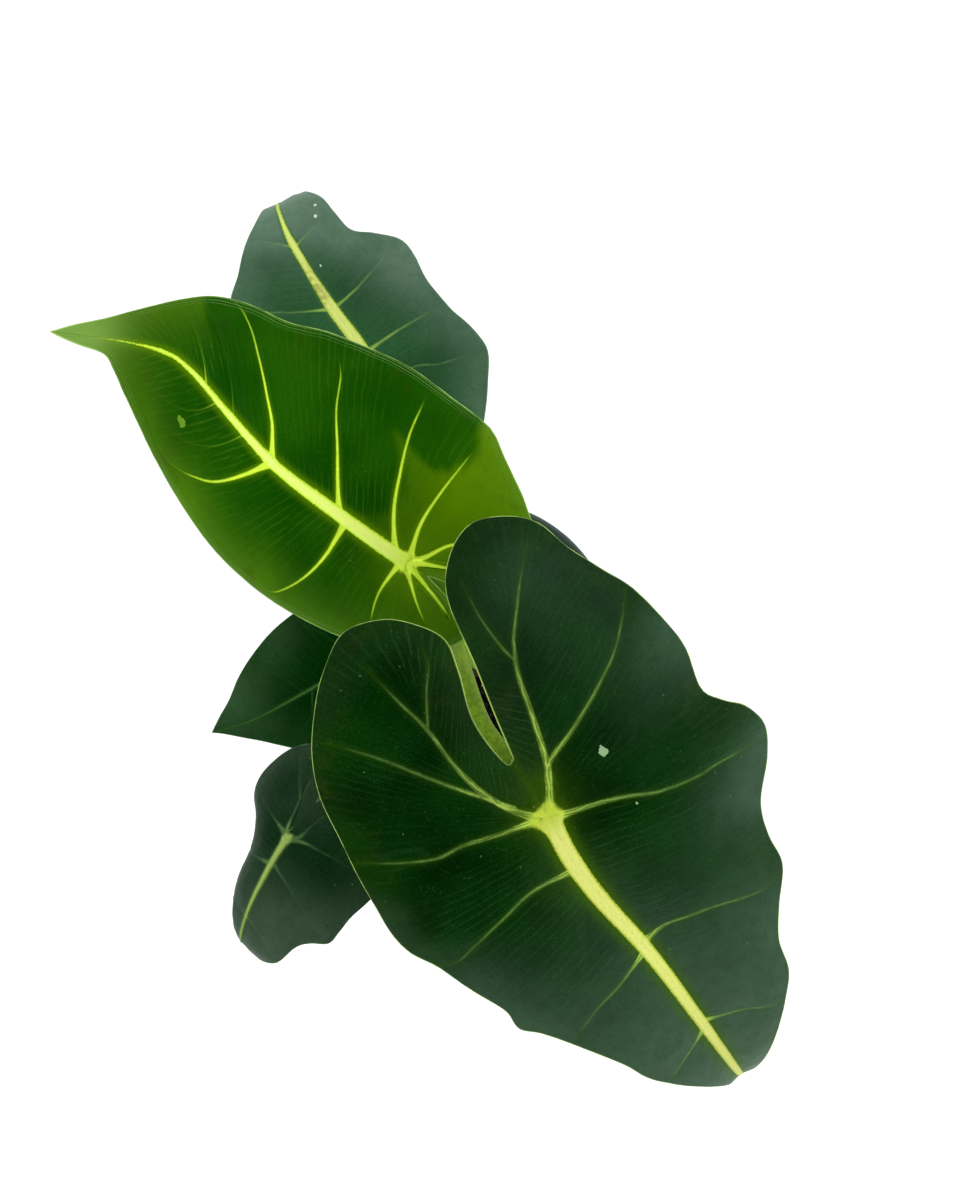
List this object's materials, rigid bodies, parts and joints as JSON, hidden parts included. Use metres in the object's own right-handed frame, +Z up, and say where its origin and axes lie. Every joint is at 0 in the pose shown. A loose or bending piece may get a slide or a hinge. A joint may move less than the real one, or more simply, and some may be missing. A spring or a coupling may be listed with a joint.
{
  "type": "potted alocasia frydek",
  "caption": "Potted aroid house plant with arrow-shaped velvety dark green leaves, pale ribs, long arching stalks and a round charcoal plastic nursery pot.",
  "frame": {"origin": "middle of the pot's flat base", "axes": "+Z up along the pot's axis; the largest leaf points between +X and -Y"},
  "size_m": [0.2581, 0.343, 0.35],
  "materials": {
    "pot": "satin",
    "soil": "matte",
    "stem": "satin",
    "stalk": "satin",
    "dark_blade": "velvet",
    "young_blade": "satin",
    "back_blade": "velvet"
  },
  "bodies": {
    "root": {"pot": "pot", "soil": "soil", "stem_base": "stem", "big_stalk": "stalk", "big_leaf": "dark_blade", "young_stalk": "stalk", "young_leaf": "young_blade", "back_stalk": "stalk", "back_leaf": "back_blade", "low_stalk": "stalk", "low_leaf": "dark_blade", "side_stalk": "stalk", "side_leaf": "dark_blade"}
  },
  "joints": []
}
